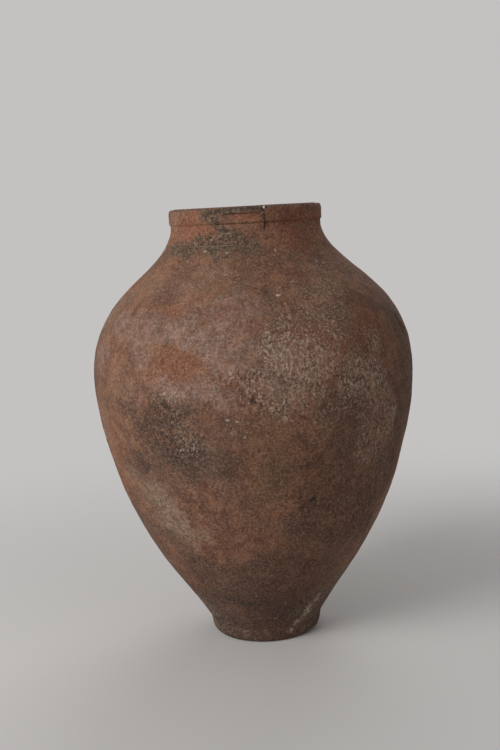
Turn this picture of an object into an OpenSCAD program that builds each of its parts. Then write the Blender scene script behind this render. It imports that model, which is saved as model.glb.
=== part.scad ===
// Large earthenware olive jar with a small foot, a high belly and a short neck.
// The potter throws it in courses: each one is left to stiffen, a V groove is cut
// in its top edge, and the next one is luted into that groove. A coil of clay is
// smeared over each joint inside. A piece of the neck and rim has been broken out
// and bedded back in mortar. The jar's axis is +Z and it stands on the plane z = 0.
// Azimuths are seen from the front, -Y: 0 faces the front and 90 faces +X.

/* [Foot] */
// Radius of the foot above its worn edge
foot_r = 73; // [68:0.5:76]
// Radius at the top of the foot, where the wall starts
foot_top_r = 74.5; // [72:0.5:80]
// Height of the foot
foot_h = 20; // [18:1:30]
// Rounding of the worn edge that it stands on
foot_edge_r = 10; // [4:0.5:12]
// Thickness of the floor
floor_t = 15; // [10:0.5:17]

/* [Courses] */
// Height of the lower wall, above the foot
lower_h = 90; // [70:1:120]
// Outer radius at the top of the lower wall
lower_r = 132.8; // [120:0.1:145]
// Height of the waist course, below the belly
waist_h = 115; // [90:1:140]
// Outer radius at the top of the waist course
waist_r = 183.4; // [172:0.1:194]
// Height of the belly course
belly_h = 113; // [90:1:140]
// Outer radius at the top of the belly course, the widest place
belly_r = 203.7; // [197:0.1:215]
// Height of the shoulder course
shoulder_h = 102; // [85:1:125]
// Outer radius at the top of the shoulder course
shoulder_r = 167.2; // [155:0.1:180]
// Height of the crown, which draws in to the neck
crown_h = 65; // [50:1:80]
// How far the top of the crown stands out from the neck
crown_out = 7.8; // [4:0.2:14]

/* [Angle of the wall at each joint, out from upright] */
// Angle at the top of the foot
foot_angle = 30; // [20:0.5:34]
// Angle at the top of the lower wall
lower_angle = 31; // [22:0.5:36]
// Angle at the top of the waist
waist_angle = 15; // [8:0.5:20]
// Angle at the widest place
belly_angle = 1; // [-3:0.5:6]
// Angle at the top of the shoulder, where the wall draws in
shoulder_angle = -41.5; // [-46:0.5:-34]
// Angle at the top of the crown, where the wall draws in
crown_angle = -31; // [-40:0.5:-22]

/* [Walls and joints] */
// Thickness of the wall where it leaves the foot
foot_wall_t = 14; // [12:0.5:17]
// Thickness of the wall above
wall_t = 11; // [8:0.5:14]
// Depth of the V groove in each joint
groove_d = 4; // [2:0.5:6]
// Height of wall that each coil covers inside
lute_h = 24; // [16:1:30]
// Thickness of each coil over its joint
lute_t = 4; // [2.5:0.5:6]

/* [Neck and rim] */
// Height of the neck
neck_h = 24; // [20:1:34]
// Outer radius of the neck under the rim
neck_r = 94.2; // [86:0.1:100]
// Thickness of the neck under the rim
neck_t = 12.2; // [9:0.1:16]
// Height of the rim
rim_h = 21; // [16:1:28]
// How far the rim stands out from the neck
rim_out = 1.8; // [0.6:0.2:3]
// Rounding of the rim's outer edge
rim_edge_r = 4; // [2:0.5:5]
// Rounding of the rim's inner edge
mouth_edge_r = 3; // [1:0.5:5]

/* [Rim repair] */
// Azimuth of the break at its right end, at the height of the rim's joint
break_right_az = -24; // [-35:1:-18]
// Angle of that break to the left, from upright
break_right_angle = 47; // [20:1:50]
// Azimuth of the break at its left end, at the height of the rim's joint
break_left_az = -108; // [-120:1:-95]
// Angle of that break to the left, from upright
break_left_angle = 18; // [0:1:30]
// Thickness of the mortar in the break
mortar_t = 1.6; // [1:0.1:3]

/* [Crack in the rim] */
// Azimuth of the crack
crack_az = 14; // [5:0.5:25]
// Length of the crack, down from the top
crack_h = 30; // [23:1:38]
// Width of the crack
crack_w = 1.2; // [0.8:0.1:2]
// Depth of the crack, in from the rim's face
crack_d = 6; // [4:0.5:9]
// Width of the notch that has opened at its top
notch_w = 5; // [3:0.5:8]
// Depth of the notch, down from the top
notch_h = 6; // [4:0.5:9]
// Height of the lime plug in the bottom of the notch
plug_h = 4.5; // [2:0.5:8]

/* [Flake, chips and dents] */
// Azimuth of the middle of the flake lost from the rim's face
flake_az = -2; // [-6:1:2]
// Width of the flake along the rim
flake_w = 46; // [20:1:50]
// Height of the flake
flake_h = 10; // [6:1:11]
// Depth of the flake
flake_d = 1.8; // [0.5:0.1:3]
// Radius of the chips out of the rim's top edge
chip_r = 9; // [5:0.5:12]
// Depth of those chips
chip_d = 2.2; // [1:0.1:3.5]
// Radius of the dent on the right of the shoulder
dent_r = 14; // [8:1:20]
// Depth of that dent
dent_d = 3; // [1:0.1:4]
// Radius of the scar on the front of the crown
scar_r = 26; // [15:1:40]
// Depth of that scar
scar_d = 1.6; // [0.5:0.1:3]

/* [Hidden] */

// A revolved surface is truly round, so its facets only matter on screen
$fn = 96;
// Steps along the outline of a course, and around a rounded edge
course_steps = 9;
edge_steps = 5;
// A block that reaches past the whole jar, and how far a cut starts outside it
reach = 600;
over = 1;

// Where chips have gone from the rim's top edge, as azimuths
chip_azimuths = [-80, 41, 78, 118, 166, 213];
// Azimuth and place up the shoulder course of the dent
dent_az = 74;
dent_place = 0.55;
// Azimuth and place up the crown of the scar
scar_az = 10;
scar_place = 0.2;
// The flake is deepest this far below its top
flake_lip = 1.5;

clay = [0.60, 0.40, 0.30];
foot_clay = [0.45, 0.31, 0.25];
red_clay = [0.68, 0.42, 0.30];
inner_clay = [0.52, 0.36, 0.28];
grey_mortar = [0.36, 0.33, 0.30];
white_lime = [0.85, 0.82, 0.77];

// Heights of the joints and of the top
lower_z = foot_h + lower_h;
waist_z = lower_z + waist_h;
belly_z = waist_z + belly_h;
shoulder_z = belly_z + shoulder_h;
crown_z = shoulder_z + crown_h;
neck_z = crown_z + neck_h;
top_z = neck_z + rim_h;
rim_r = neck_r + rim_out;
mouth_r = neck_r - neck_t;
crown_r = neck_r + crown_out;

// Each joint as [height, outer radius, flare, wall thickness], where the flare is the
// growth of the radius per height
foot_joint = [foot_h, foot_top_r, tan(foot_angle), foot_wall_t];
lower_joint = [lower_z, lower_r, tan(lower_angle), wall_t];
waist_joint = [waist_z, waist_r, tan(waist_angle), wall_t];
belly_joint = [belly_z, belly_r, tan(belly_angle), wall_t];
shoulder_joint = [shoulder_z, shoulder_r, tan(shoulder_angle), wall_t];
crown_joint = [crown_z, crown_r, tan(crown_angle), wall_t];
neck_joint = [neck_z, neck_r, 0, neck_t];

// The outline between two joints is the cubic that keeps both radii and both flares,
// and t runs from 0 at the lower joint to 1 at the upper one
function height(a, b, t) = a[0] + t * (b[0] - a[0]);
function radius(a, b, t) =
    let (h = b[0] - a[0], u = 1 - t)
    a[1] * u * u * (1 + 2 * t) + b[1] * t * t * (3 - 2 * t)
    + h * t * u * (a[2] * u - b[2] * t);
function flare(a, b, t) =
    let (h = b[0] - a[0], u = 1 - t)
    6 * t * u * (b[1] - a[1]) / h + a[2] * u * (1 - 3 * t) + b[2] * t * (3 * t - 2);
function thickness(a, b, t) = a[3] + t * (b[3] - a[3]);

// A unit step square out of a wall of flare f, and one up along it
function out_of(f) = [1, -f] / sqrt(1 + f * f);
function up_along(f) = [f, 1] / sqrt(1 + f * f);

function outer_point(a, b, t) = [radius(a, b, t), height(a, b, t)];
function inner_point(a, b, t) = outer_point(a, b, t) - thickness(a, b, t) * out_of(flare(a, b, t));

// The bottom of the V groove in the joint j, halfway through the wall
function groove_point(j) = [j[1], j[0]] - j[3] / 2 * out_of(j[2]) - groove_d * up_along(j[2]);

// Steps up a course, with one at the edge of the coil at each end that has one
function steps(a, b, low, high) =
    let (edge = lute_h / 2 / (b[0] - a[0]), t0 = low ? edge : 0, t1 = high ? 1 - edge : 1)
    concat(
        low ? [0] : [],
        [for (i = [0:course_steps]) t0 + (t1 - t0) * i / course_steps],
        high ? [1] : []
    );
function reversed(list) = [for (i = [len(list) - 1:-1:0]) list[i]];

// A quarter turn of radius r about a centre
function quarter(centre, r, from) =
    [for (i = [0:edge_steps]) let (v = from + 90 * i / edge_steps) centre + r * [cos(v), sin(v)]];

// One course of the wall, tongued into the groove below and grooved for the one above
module course(a, b, high = true) {
    t = steps(a, b, true, high);
    rotate_extrude()
        polygon(concat(
            [for (k = t) outer_point(a, b, k)],
            [groove_point(b)],
            [for (k = reversed(t)) inner_point(a, b, k)],
            [groove_point(a)]
        ));
}

// The coil smeared inside over the joint b, between the courses a-b and b-c
module lute(a, b, c) {
    low = inner_point(a, b, 1 - lute_h / 2 / (b[0] - a[0]));
    high = inner_point(b, c, lute_h / 2 / (c[0] - b[0]));
    along = (high - low) / norm(high - low);
    inward = [-along[1], along[0]];
    color(inner_clay)
    rotate_extrude()
        polygon(concat(
            [low, inner_point(a, b, 1)],
            [for (i = [0:course_steps - 1])
                let (v = i / course_steps)
                high + (low - high) * v + lute_t * sin(180 * v) * inward]
        ));
}

// A ball of radius r that bites d deep into the wall of a course, square to it
module bite(a, b, t, az, r, d) {
    centre = outer_point(a, b, t) + (r - d) * out_of(flare(a, b, t));
    rotate([0, 0, az]) translate([0, -centre[0], centre[1]]) sphere(r = r);
}

module base() {
    inner = inner_point(foot_joint, lower_joint, 0);
    color(foot_clay)
    rotate_extrude()
        polygon(concat(
            [[0, 0]],
            quarter([foot_r - foot_edge_r, foot_edge_r], foot_edge_r, -90),
            [outer_point(foot_joint, lower_joint, 0), groove_point(foot_joint), inner],
            [[inner[0], floor_t], [0, floor_t]]
        ));
}

module lower_wall() { color(clay) course(foot_joint, lower_joint); }
module waist_wall() { color(clay) course(lower_joint, waist_joint); }
module belly_wall() { color(clay) course(waist_joint, belly_joint); }
module shoulder_wall() {
    color(clay)
    difference() {
        course(belly_joint, shoulder_joint);
        bite(belly_joint, shoulder_joint, dent_place, dent_az, dent_r, dent_d);
    }
}
module crown_blank() { course(shoulder_joint, crown_joint); }
module crown_wall() {
    color(clay)
    difference() {
        crown_blank();
        bite(shoulder_joint, crown_joint, scar_place, scar_az, scar_r, scar_d);
    }
}

// The rim's section, from under its overhang, over the top and round to the mouth
rim_section = concat(
    [[rim_r, neck_z + rim_out]],
    quarter([rim_r - rim_edge_r, top_z - rim_edge_r], rim_edge_r, 0),
    quarter([mouth_r + mouth_edge_r, top_z - mouth_edge_r], mouth_edge_r, 90)
);

module neck_blank() { course(crown_joint, neck_joint, high = false); }
module rim_blank() {
    rotate_extrude()
        polygon(concat([[neck_r, neck_z]], rim_section, [[mouth_r, neck_z], groove_point(neck_joint)]));
}
// The neck and rim as fired, which broke as one piece
module neck_and_rim() {
    t = steps(crown_joint, neck_joint, true, false);
    rotate_extrude()
        polygon(concat(
            [for (k = t) outer_point(crown_joint, neck_joint, k)],
            rim_section,
            [for (k = reversed(t)) inner_point(crown_joint, neck_joint, k)],
            [groove_point(crown_joint)]
        ));
}

// Everything on one side of a break, from x0 on, with the break moved out by grow
module beside_break(az, angle, x0, grow) {
    rotate([0, 0, az]) translate([0, 0, neck_z]) rotate([0, -angle, 0])
        translate([x0, -reach, -reach]) cube([reach + grow, 2 * reach, 2 * reach]);
}
module between_breaks(grow) {
    intersection() {
        beside_break(break_right_az, break_right_angle, -reach, grow);
        beside_break(break_left_az, break_left_angle, -grow, grow);
    }
}

// Puts its children on the rim's top outer edge, with +Y pointing in to the axis
module on_rim(az) { rotate([0, 0, az]) translate([0, -rim_r, top_z]) children(); }

module crack() {
    on_rim(crack_az) translate([-crack_w / 2, -over, -crack_h])
        cube([crack_w, crack_d + over, crack_h + over]);
}
module notch() {
    on_rim(crack_az) translate([0, crack_d, 0]) rotate([90, 0, 0])
        linear_extrude(crack_d + over)
        polygon([
            [-crack_w / 2, -notch_h], [crack_w / 2, -notch_h],
            [notch_w / 2, over], [-notch_w / 2, over]
        ]);
}
module flake() {
    turn = flake_w / rim_r * 180 / PI;
    top = (neck_z + top_z + flake_h) / 2;
    rotate([0, 0, flake_az - turn / 2 - 90])
        rotate_extrude(angle = turn)
        polygon([
            [rim_r + over, top - flake_h], [rim_r, top - flake_h],
            [rim_r - flake_d, top - flake_lip], [rim_r, top], [rim_r + over, top]
        ]);
}
module chips() {
    away = (rim_edge_r + chip_r - chip_d) * [cos(45), sin(45)];
    for (az = chip_azimuths)
        on_rim(az) translate([0, rim_edge_r - away[0], away[1] - rim_edge_r]) sphere(r = chip_r);
}

module neck_ring() {
    color(clay)
    difference() {
        neck_blank();
        between_breaks(mortar_t);
        crack();
    }
}
module rim_band() {
    color(clay)
    difference() {
        rim_blank();
        between_breaks(mortar_t);
        crack();
        notch();
        flake();
        chips();
    }
}
// The sherd before it was chipped, with room for the mortar that it is bedded on
module sherd_blank() {
    difference() {
        intersection() {
            neck_and_rim();
            between_breaks(0);
        }
        translate([0, 0, mortar_t]) crown_blank();
    }
}
module rim_sherd() {
    color(red_clay)
    difference() {
        sherd_blank();
        chips();
    }
}
module sherd_mortar() {
    color(grey_mortar)
    difference() {
        intersection() {
            neck_and_rim();
            between_breaks(mortar_t);
        }
        sherd_blank();
        chips();
    }
}
module lime_plug() {
    color(white_lime)
    intersection() {
        rim_blank();
        notch();
        translate([-reach, -reach, top_z - notch_h + plug_h - reach]) cube([2 * reach, 2 * reach, reach]);
    }
}

// The coil of clay smeared into the corner of the floor and the lower wall
module foot_lute() {
    inner = inner_point(foot_joint, lower_joint, 0);
    high = inner_point(foot_joint, lower_joint, lute_h / 2 / lower_h);
    toe = [inner[0] - lute_h / 2, floor_t];
    color(inner_clay)
    rotate_extrude()
        polygon(concat(
            [toe, [inner[0], floor_t], inner],
            [for (i = [0:course_steps - 1])
                let (v = i / course_steps)
                high + (toe - high) * v + lute_t / 2 * sin(180 * v) * [-1, 1]]
        ));
}
module lower_lute() { lute(foot_joint, lower_joint, waist_joint); }
module waist_lute() { lute(lower_joint, waist_joint, belly_joint); }
module belly_lute() { lute(waist_joint, belly_joint, shoulder_joint); }
module shoulder_lute() { lute(belly_joint, shoulder_joint, crown_joint); }
module crown_lute() { lute(shoulder_joint, crown_joint, neck_joint); }

base();
lower_wall();
waist_wall();
belly_wall();
shoulder_wall();
crown_wall();
neck_ring();
rim_band();
rim_sherd();
sherd_mortar();
lime_plug();
foot_lute();
lower_lute();
waist_lute();
belly_lute();
shoulder_lute();
crown_lute();
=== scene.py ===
"""An old earthenware olive jar with a small foot, a high belly and a mended rim.

Lengths are millimetres until a mesh or a node is made, and MM turns them into metres.
Azimuths are degrees seen from the front, -Y: 0 faces the front and 90 faces +X.
"""
import math
import random

import bpy
import numpy as np
from mathutils import Matrix, Vector


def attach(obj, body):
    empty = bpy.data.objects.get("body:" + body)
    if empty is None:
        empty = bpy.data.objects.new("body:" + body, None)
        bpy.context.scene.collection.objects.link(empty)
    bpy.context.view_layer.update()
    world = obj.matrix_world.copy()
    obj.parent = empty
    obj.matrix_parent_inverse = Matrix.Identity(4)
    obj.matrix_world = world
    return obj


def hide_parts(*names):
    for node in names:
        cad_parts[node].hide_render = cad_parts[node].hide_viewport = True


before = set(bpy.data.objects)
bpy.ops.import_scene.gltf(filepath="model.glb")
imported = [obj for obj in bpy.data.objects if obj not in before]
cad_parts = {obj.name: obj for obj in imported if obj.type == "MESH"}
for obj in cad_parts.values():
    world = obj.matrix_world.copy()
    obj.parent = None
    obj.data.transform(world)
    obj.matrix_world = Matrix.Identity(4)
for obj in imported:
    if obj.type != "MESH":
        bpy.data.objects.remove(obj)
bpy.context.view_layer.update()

MM = 0.001

# The photograph's camera: a 50 mm lens level with the rim, tipped down and rolled a little
CAMERA_PLACE = Vector((0.0, -1.32368, 0.5500))
CAMERA_PITCH = 0.16109
CAMERA_YAW = -0.003512
CAMERA_ROLL = -0.054184
LENS_MM = 50.0
SENSOR_MM = 36.0

# Each joint of the wall: height, outer radius, angle out from upright, wall thickness
FOOT = (20.0, 74.5, 30.0, 14.0)
LOWER = (110.0, 132.8, 31.0, 11.0)
WAIST = (225.0, 183.4, 15.0, 11.0)
BELLY = (338.0, 203.7, 1.0, 11.0)
SHOULDER = (440.0, 167.2, -41.5, 11.0)
CROWN = (505.0, 102.0, -31.0, 11.0)
NECK = (529.0, 94.2, 0.0, 12.2)

FOOT_R = 73.0
FOOT_EDGE_R = 10.0
FLOOR_T = 15.0
GROOVE_D = 4.0
LUTE_H = 24.0
LUTE_T = 4.0
RIM_TOP = 550.0
RIM_OUT = 1.8
RIM_EDGE_R = 4.0
MOUTH_EDGE_R = 3.0

# The two breaks of the mended sherd: azimuth at the rim's joint and angle to the left
BREAK_RIGHT = (-24.0, 47.0)
BREAK_LEFT = (-108.0, 18.0)
MORTAR_T = 1.6

CRACK_AZ = 14.0
CRACK_H = 30.0
CRACK_D = 4.0
NOTCH_W = 5.0
NOTCH_H = 6.0
PLUG_H = 4.5
CHIP_R = 9.0
CHIP_D = 2.2
CHIP_AZIMUTHS = (-80.0, 41.0, 78.0, 118.0, 166.0, 213.0)

# Mesh density: columns round the jar, and millimetres between rows outside and inside
COLUMNS = 640
ROW = 1.8
INNER_ROW = 4.0


# Camera

def make_camera():
    camera = bpy.data.objects.new("camera", bpy.data.cameras.new("camera"))
    camera.data.lens = LENS_MM
    camera.data.sensor_width = SENSOR_MM
    cp, sp = math.cos(CAMERA_PITCH), math.sin(CAMERA_PITCH)
    cq, sq = math.cos(CAMERA_YAW), math.sin(CAMERA_YAW)
    cr, sr = math.cos(CAMERA_ROLL), math.sin(CAMERA_ROLL)
    right = Vector((cq, -sq, 0.0))
    forward = Vector((sq * cp, cq * cp, -sp))
    up = Vector((sq * sp, cq * sp, cp))
    rolled_right = right * cr + up * sr
    rolled_up = up * cr - right * sr
    turn = Matrix((rolled_right, rolled_up, -forward)).transposed()
    camera.matrix_world = Matrix.Translation(CAMERA_PLACE) @ turn.to_4x4()
    bpy.context.collection.objects.link(camera)
    bpy.context.scene.camera = camera


# Noise, the same on every run

def gradient_table(seed):
    rng = np.random.RandomState(seed)
    g = rng.normal(size=(256, 3))
    return rng.permutation(256), g / np.linalg.norm(g, axis=1)[:, None]


PERM, GRADIENTS = gradient_table(7)


def noise(points, size, seed=0):
    """Gradient noise of about -1 to 1, whose lumps are about size millimetres apart."""
    p = points / size + np.array([17.3, 5.1, 9.7]) * (seed + 1)
    cell = np.floor(p).astype(np.int64)
    f = p - cell
    s = f * f * f * (f * (f * 6 - 15) + 10)
    total = np.zeros(len(p))
    for dx in (0, 1):
        hx = PERM[(cell[:, 0] + dx) & 255]
        wx = s[:, 0] if dx else 1 - s[:, 0]
        for dy in (0, 1):
            hy = PERM[(hx + cell[:, 1] + dy) & 255]
            wy = s[:, 1] if dy else 1 - s[:, 1]
            for dz in (0, 1):
                hz = PERM[(hy + cell[:, 2] + dz) & 255]
                wz = s[:, 2] if dz else 1 - s[:, 2]
                away = f - np.array([dx, dy, dz])
                total += wx * wy * wz * np.einsum("ij,ij->i", GRADIENTS[hz], away)
    return total * 1.6


def layered(points, size, layers, seed=0):
    total = np.zeros(len(points))
    for k in range(layers):
        total += noise(points, size / 2 ** k, seed + 3 * k) / 2 ** k
    return total


def ramp(x, low, high):
    t = np.clip((x - low) / (high - low), 0, 1)
    return t * t * (3 - 2 * t)


# The outline of the wall

def slope(joint):
    return math.tan(math.radians(joint[2]))


def course_point(a, b, t):
    """Radius, height and flare of the outer face at t, from the joint a to the joint b."""
    h, u = b[0] - a[0], 1 - t
    r = a[1] * u * u * (1 + 2 * t) + b[1] * t * t * (3 - 2 * t) + h * t * u * (slope(a) * u - slope(b) * t)
    f = 6 * t * u * (b[1] - a[1]) / h + slope(a) * u * (1 - 3 * t) + slope(b) * t * (3 * t - 2)
    return r, a[0] + t * h, f


def out_of(f):
    return np.array([1, -f]) / math.hypot(1, f)


def outer_point(a, b, t):
    r, z, f = course_point(a, b, t)
    return np.array([r, z])


def inner_point(a, b, t):
    r, z, f = course_point(a, b, t)
    return np.array([r, z]) - (a[3] + t * (b[3] - a[3])) * out_of(f)


def groove_point(joint):
    f = slope(joint)
    up_along = np.array([f, 1]) / math.hypot(1, f)
    return np.array([joint[1], joint[0]]) - joint[3] / 2 * out_of(f) - GROOVE_D * up_along


def course_steps(a, b, row):
    """Even steps up a course, with a narrow row at each end so that seams shade alike."""
    n = max(6, round(1.15 * (b[0] - a[0]) / row))
    t = np.linspace(0, 1, n + 1)
    edge = 0.3 / (b[0] - a[0])
    return np.concatenate([[0, edge], t[1:-1], [1 - edge, 1]])


def on_wall(az, z):
    """A point in the middle of a named place on the outer face, and its outward normal."""
    for a, b in zip(JOINTS, JOINTS[1:]):
        if z <= b[0]:
            break
    t = (z - a[0]) / (b[0] - a[0])
    r, z, f = course_point(a, b, t)
    n = out_of(f)
    v = math.radians(az)
    place = np.array([r * math.sin(v), -r * math.cos(v), z])
    return place, np.array([n[0] * math.sin(v), -n[0] * math.cos(v), n[1]])


JOINTS = (FOOT, LOWER, WAIST, BELLY, SHOULDER, CROWN, NECK)

# Places in the photograph where the surface itself is hurt: azimuth, height, radius
# and depth of the hollow
HOLLOWS = (
    (15.0, 216.5, 3.6, 1.4), (20.0, 214.0, 5.2, 2.2), (16.0, 205.0, 3.2, 1.5),
    (-46.0, 400.0, 2.6, 1.3), (-43.0, 397.0, 2.4, 1.0), (13.0, 440.0, 3.4, 1.8),
    (11.0, 444.0, 2.4, 1.2), (0.0, 338.0, 6.5, 1.1), (2.5, 335.0, 4.0, 1.3),
    (71.0, 395.0, 13.0, 2.2), (75.0, 392.0, 6.0, 1.6), (69.0, 408.0, 9.0, 0.9),
    (-28.0, 246.0, 4.0, 0.8), (7.0, 241.0, 4.0, 0.7), (27.0, 262.0, 4.4, 0.9),
    (48.0, 139.0, 5.0, 0.8), (-50.0, 138.0, 3.4, 1.3), (-58.0, 344.0, 3.0, 0.8),
    (31.0, 349.0, 9.0, 0.7), (38.0, 318.0, 8.0, 0.8), (-35.0, 128.0, 7.0, 0.7),
)
# The scar where a lug broke away: a low crescent round a shallow seat
SCAR_AZ = 9.0
SCAR_Z = 454.0
SCAR_R = 13.0


def scattered_pits(count, seed):
    """Small pits in random places, as a rule of age."""
    rng = random.Random(seed)
    pits = []
    for _ in range(count):
        z = rng.uniform(24, 500)
        az = rng.uniform(-180, 180)
        size = rng.uniform(1.6, 3.4) * (1.35 if rng.random() < 0.12 else 1)
        pits.append((az, z, size, size * rng.uniform(0.16, 0.34)))
    return pits


PITS = tuple(HOLLOWS) + tuple(scattered_pits(330, 11))


def hollow_depth(points):
    depth = np.zeros(len(points))
    low, high = points[:, 2].min(), points[:, 2].max()
    for az, z, size, deep in PITS:
        if z < low - 15 or z > high + 15:
            continue
        place, normal = on_wall(az, z)
        near = np.abs(points[:, 2] - place[2]) < 1.7 * size
        if not near.any():
            continue
        away = np.linalg.norm(points[near] - place, axis=1)
        wobble = 1 + 0.35 * noise(points[near], 4.0, 5)
        cup = 1 - ramp(away / (size * wobble), 0.25, 1.0)
        depth[near] = np.maximum(depth[near], deep * cup)
    return depth


def scar_relief(points):
    place, normal = on_wall(SCAR_AZ, SCAR_Z)
    away = points - place
    d = np.linalg.norm(away * np.array([1, 1, 0.85]), axis=1)
    ring = np.exp(-((d - SCAR_R) / 2.6) ** 2)
    upper = ramp(away[:, 2] + 0.3 * away[:, 0], -3, 8)
    seat = 1 - ramp(d, SCAR_R * 0.5, SCAR_R * 1.05)
    return ring * upper * 0.9 - seat * 1.5 * (1 + 0.4 * noise(points, 5, 8))


def outer_relief(points):
    """How far the outer face stands out from the true outline, in millimetres."""
    z = points[:, 2]
    az = np.arctan2(points[:, 0], -points[:, 1])
    flat = points * np.array([0.22, 0.22, 1.0])
    d = 0.75 * noise(points, 130, 1) + 0.5 * noise(points, 48, 2)
    rings = noise(flat + np.stack([0 * z, 0 * z, az * 2.2], 1), 13, 3)
    throw = ramp(z, 95, 180) * (1 - ramp(z, 470, 520))
    d += (0.12 + 0.2 * throw) * rings
    d += 0.16 * layered(points, 11, 2, 4)
    crust = ramp(layered(points, 42, 2, 12), -0.15, 0.55) * ramp(330 - z, -60, 90)
    d += 0.22 * crust * layered(points, 6.5, 2, 14)
    d -= hollow_depth(points)
    d += scar_relief(points)
    return d - 1.1


def inner_relief(points):
    z = points[:, 2]
    az = np.arctan2(points[:, 0], -points[:, 1])
    spiral = np.sin((z - 7.5 * az / math.pi) * 2 * math.pi / 15.0 + 1.3 * noise(points, 90, 20))
    return 0.45 * spiral + 0.5 * noise(points, 60, 21) + 0.12 * noise(points, 9, 22)


# Areas of the wall in the photograph: azimuth, height, width and height of each oval, and
# how strong it is. The back and sides get their own from noise.
RED_AREAS = (
    (-24, 380, 70, 60, 0.7), (22, 385, 130, 100, 0.8), (45, 395, 90, 80, 0.7), (-30, 436, 60, 14, 0.9),
    (-5, 420, 60, 50, 0.5), (-62, 270, 50, 110, 0.4), (44, 522, 110, 64, 1.0), (-40, 520, 60, 40, 0.6),
    (2, 536, 50, 12, 1.0),
)
TAN_AREAS = (
    (-52, 348, 70, 100, 0.9), (-68, 300, 60, 190, 0.8), (-72, 420, 60, 120, 0.8), (-56, 460, 80, 60, 0.7),
    (-20, 465, 90, 40, 0.4), (40, 460, 90, 60, 0.5), (-58, 500, 60, 40, 0.6),
)
OCHRE_AREAS = (
    (4, 290, 90, 120, 0.8), (2, 235, 70, 110, 0.7), (-6, 480, 110, 40, 0.5), (22, 460, 60, 40, 0.5),
    (40, 340, 60, 50, 0.3),
)
BEIGE_AREAS = (
    (-44, 222, 66, 66, 0.8), (-38, 190, 70, 70, 1.0), (-30, 168, 70, 44, 0.8), (-54, 244, 50, 60, 0.6),
)
LILAC_AREAS = (
    (-27, 420, 60, 56, 1.0), (-19, 404, 60, 40, 1.0), (-14, 391, 50, 34, 1.0), (-58, 420, 44, 44, 0.9),
    (-40, 386, 44, 40, 0.8), (-44, 414, 90, 60, 0.7), (-8, 400, 110, 80, 0.8), (-13, 345, 60, 36, 0.9),
    (-22, 352, 120, 46, 0.7), (-66, 385, 50, 60, 0.6), (-5, 440, 110, 50, 0.6), (12, 372, 100, 90, 0.55),
)
# Brown crust. The first four ovals, on the right flank, are partly painted shade of that side.
CRUST_AND_SHADE_AREAS = (
    (72, 340, 100, 260, 1.0), (60, 270, 70, 170, 1.0), (52, 215, 90, 150, 0.9), (46, 165, 110, 110, 0.9),
    (35, 300, 60, 90, 0.35), (-28, 130, 90, 50, 0.8), (-42, 150, 50, 40, 0.7), (10, 128, 150, 60, 0.6),
    (28, 190, 110, 100, 0.8), (30, 235, 90, 80, 0.6), (-16, 90, 110, 60, 0.6), (-46, 270, 50, 60, 0.5),
)
# Soot, and painted shade: the ovals on the hollows at 15°, 20°, 16°, 0° and 48°, on the lug scar at 9°, at the crack
# near 14° and along the rim's top over the flake paint the shade in those recesses and of the jar's shaded inside
# seen over the rim. The rest is soot.
SOOT_AND_SHADE_AREAS = (
    (-29, 318, 90, 60, 1.0), (-26, 285, 100, 80, 1.0), (-36, 300, 90, 90, 0.8), (-48, 326, 60, 36, 0.8),
    (15, 216.5, 10, 10, 1.0), (20, 214, 13, 12, 1.0), (16, 205, 9, 9, 1.0), (9, 452, 30, 22, 0.55),
    (-4, 547, 110, 9, 0.95), (55, 549, 200, 5, 0.8), (-60, 549, 150, 6, 0.8), (-76, 544, 30, 14, 0.8),
    (-24, 255, 60, 44, 0.8), (-44, 262, 44, 40, 0.6), (-12, 262, 60, 50, 0.45), (34, 320, 7, 11, 0.9),
    (34, 309, 8, 9, 0.7), (34, 297, 7, 13, 0.8), (36, 328, 6, 7, 0.7), (17, 257, 9, 9, 0.8),
    (-13, 66, 60, 16, 0.8), (-22, 72, 36, 14, 0.6), (35, 350, 36, 7, 0.7), (47, 139, 12, 10, 0.8),
    (-1, 340, 10, 8, 0.9), (1.5, 334, 8, 6, 0.7), (13, 541, 12, 22, 0.9), (14, 548, 30, 6, 0.8),
)
LIME_AREAS = (
    (14, 378, 150, 120, 1.0), (36, 340, 110, 130, 1.0), (30, 415, 110, 60, 0.8), (0, 345, 110, 80, 0.8),
    (48, 300, 70, 130, 0.8), (-28, 335, 70, 40, 0.9), (-22, 298, 90, 90, 0.55), (44, 385, 60, 60, 0.9),
    (-10, 375, 90, 60, 0.8), (50, 240, 60, 110, 0.45), (-2, 362, 90, 90, 0.7), (12, 330, 120, 80, 0.8),
    (22, 300, 80, 60, 0.5), (42, 268, 70, 120, 0.7), (-20, 470, 130, 50, 0.4), (35, 452, 110, 80, 0.65),
    (-44, 205, 60, 90, 0.5),
)
FOOT_LIME_AREAS = ((38, 40, 16, 40, 1.0), (33, 26, 22, 14, 0.8), (26, 15, 16, 10, 0.8), (42, 58, 10, 20, 0.9))
NECK_SMEAR_AREAS = (
    (-12, 510, 76, 34, 1.0), (-28, 506, 80, 32, 1.0), (-2, 500, 50, 26, 0.8), (-50, 502, 80, 26, 0.9),
    (-66, 497, 50, 18, 0.6), (-15, 496, 66, 22, 0.6),
)
RIM_SMEAR_AREAS = (
    (-18, 545, 76, 14, 1.0), (-26, 540, 46, 20, 1.0), (-22, 532, 20, 22, 0.95), (-16, 523, 16, 22, 0.95),
    (4, 547, 40, 7, 0.8),
)

WALL_SLOTS = ("terracotta", "red_clay", "foot_clay")


def wander(points, size, reach, seed):
    """A drift of each point by noise, so that no area has a drawn edge."""
    return reach * np.stack([layered(points, size, 3, seed + k) for k in (0, 20, 40)], 1)


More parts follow.
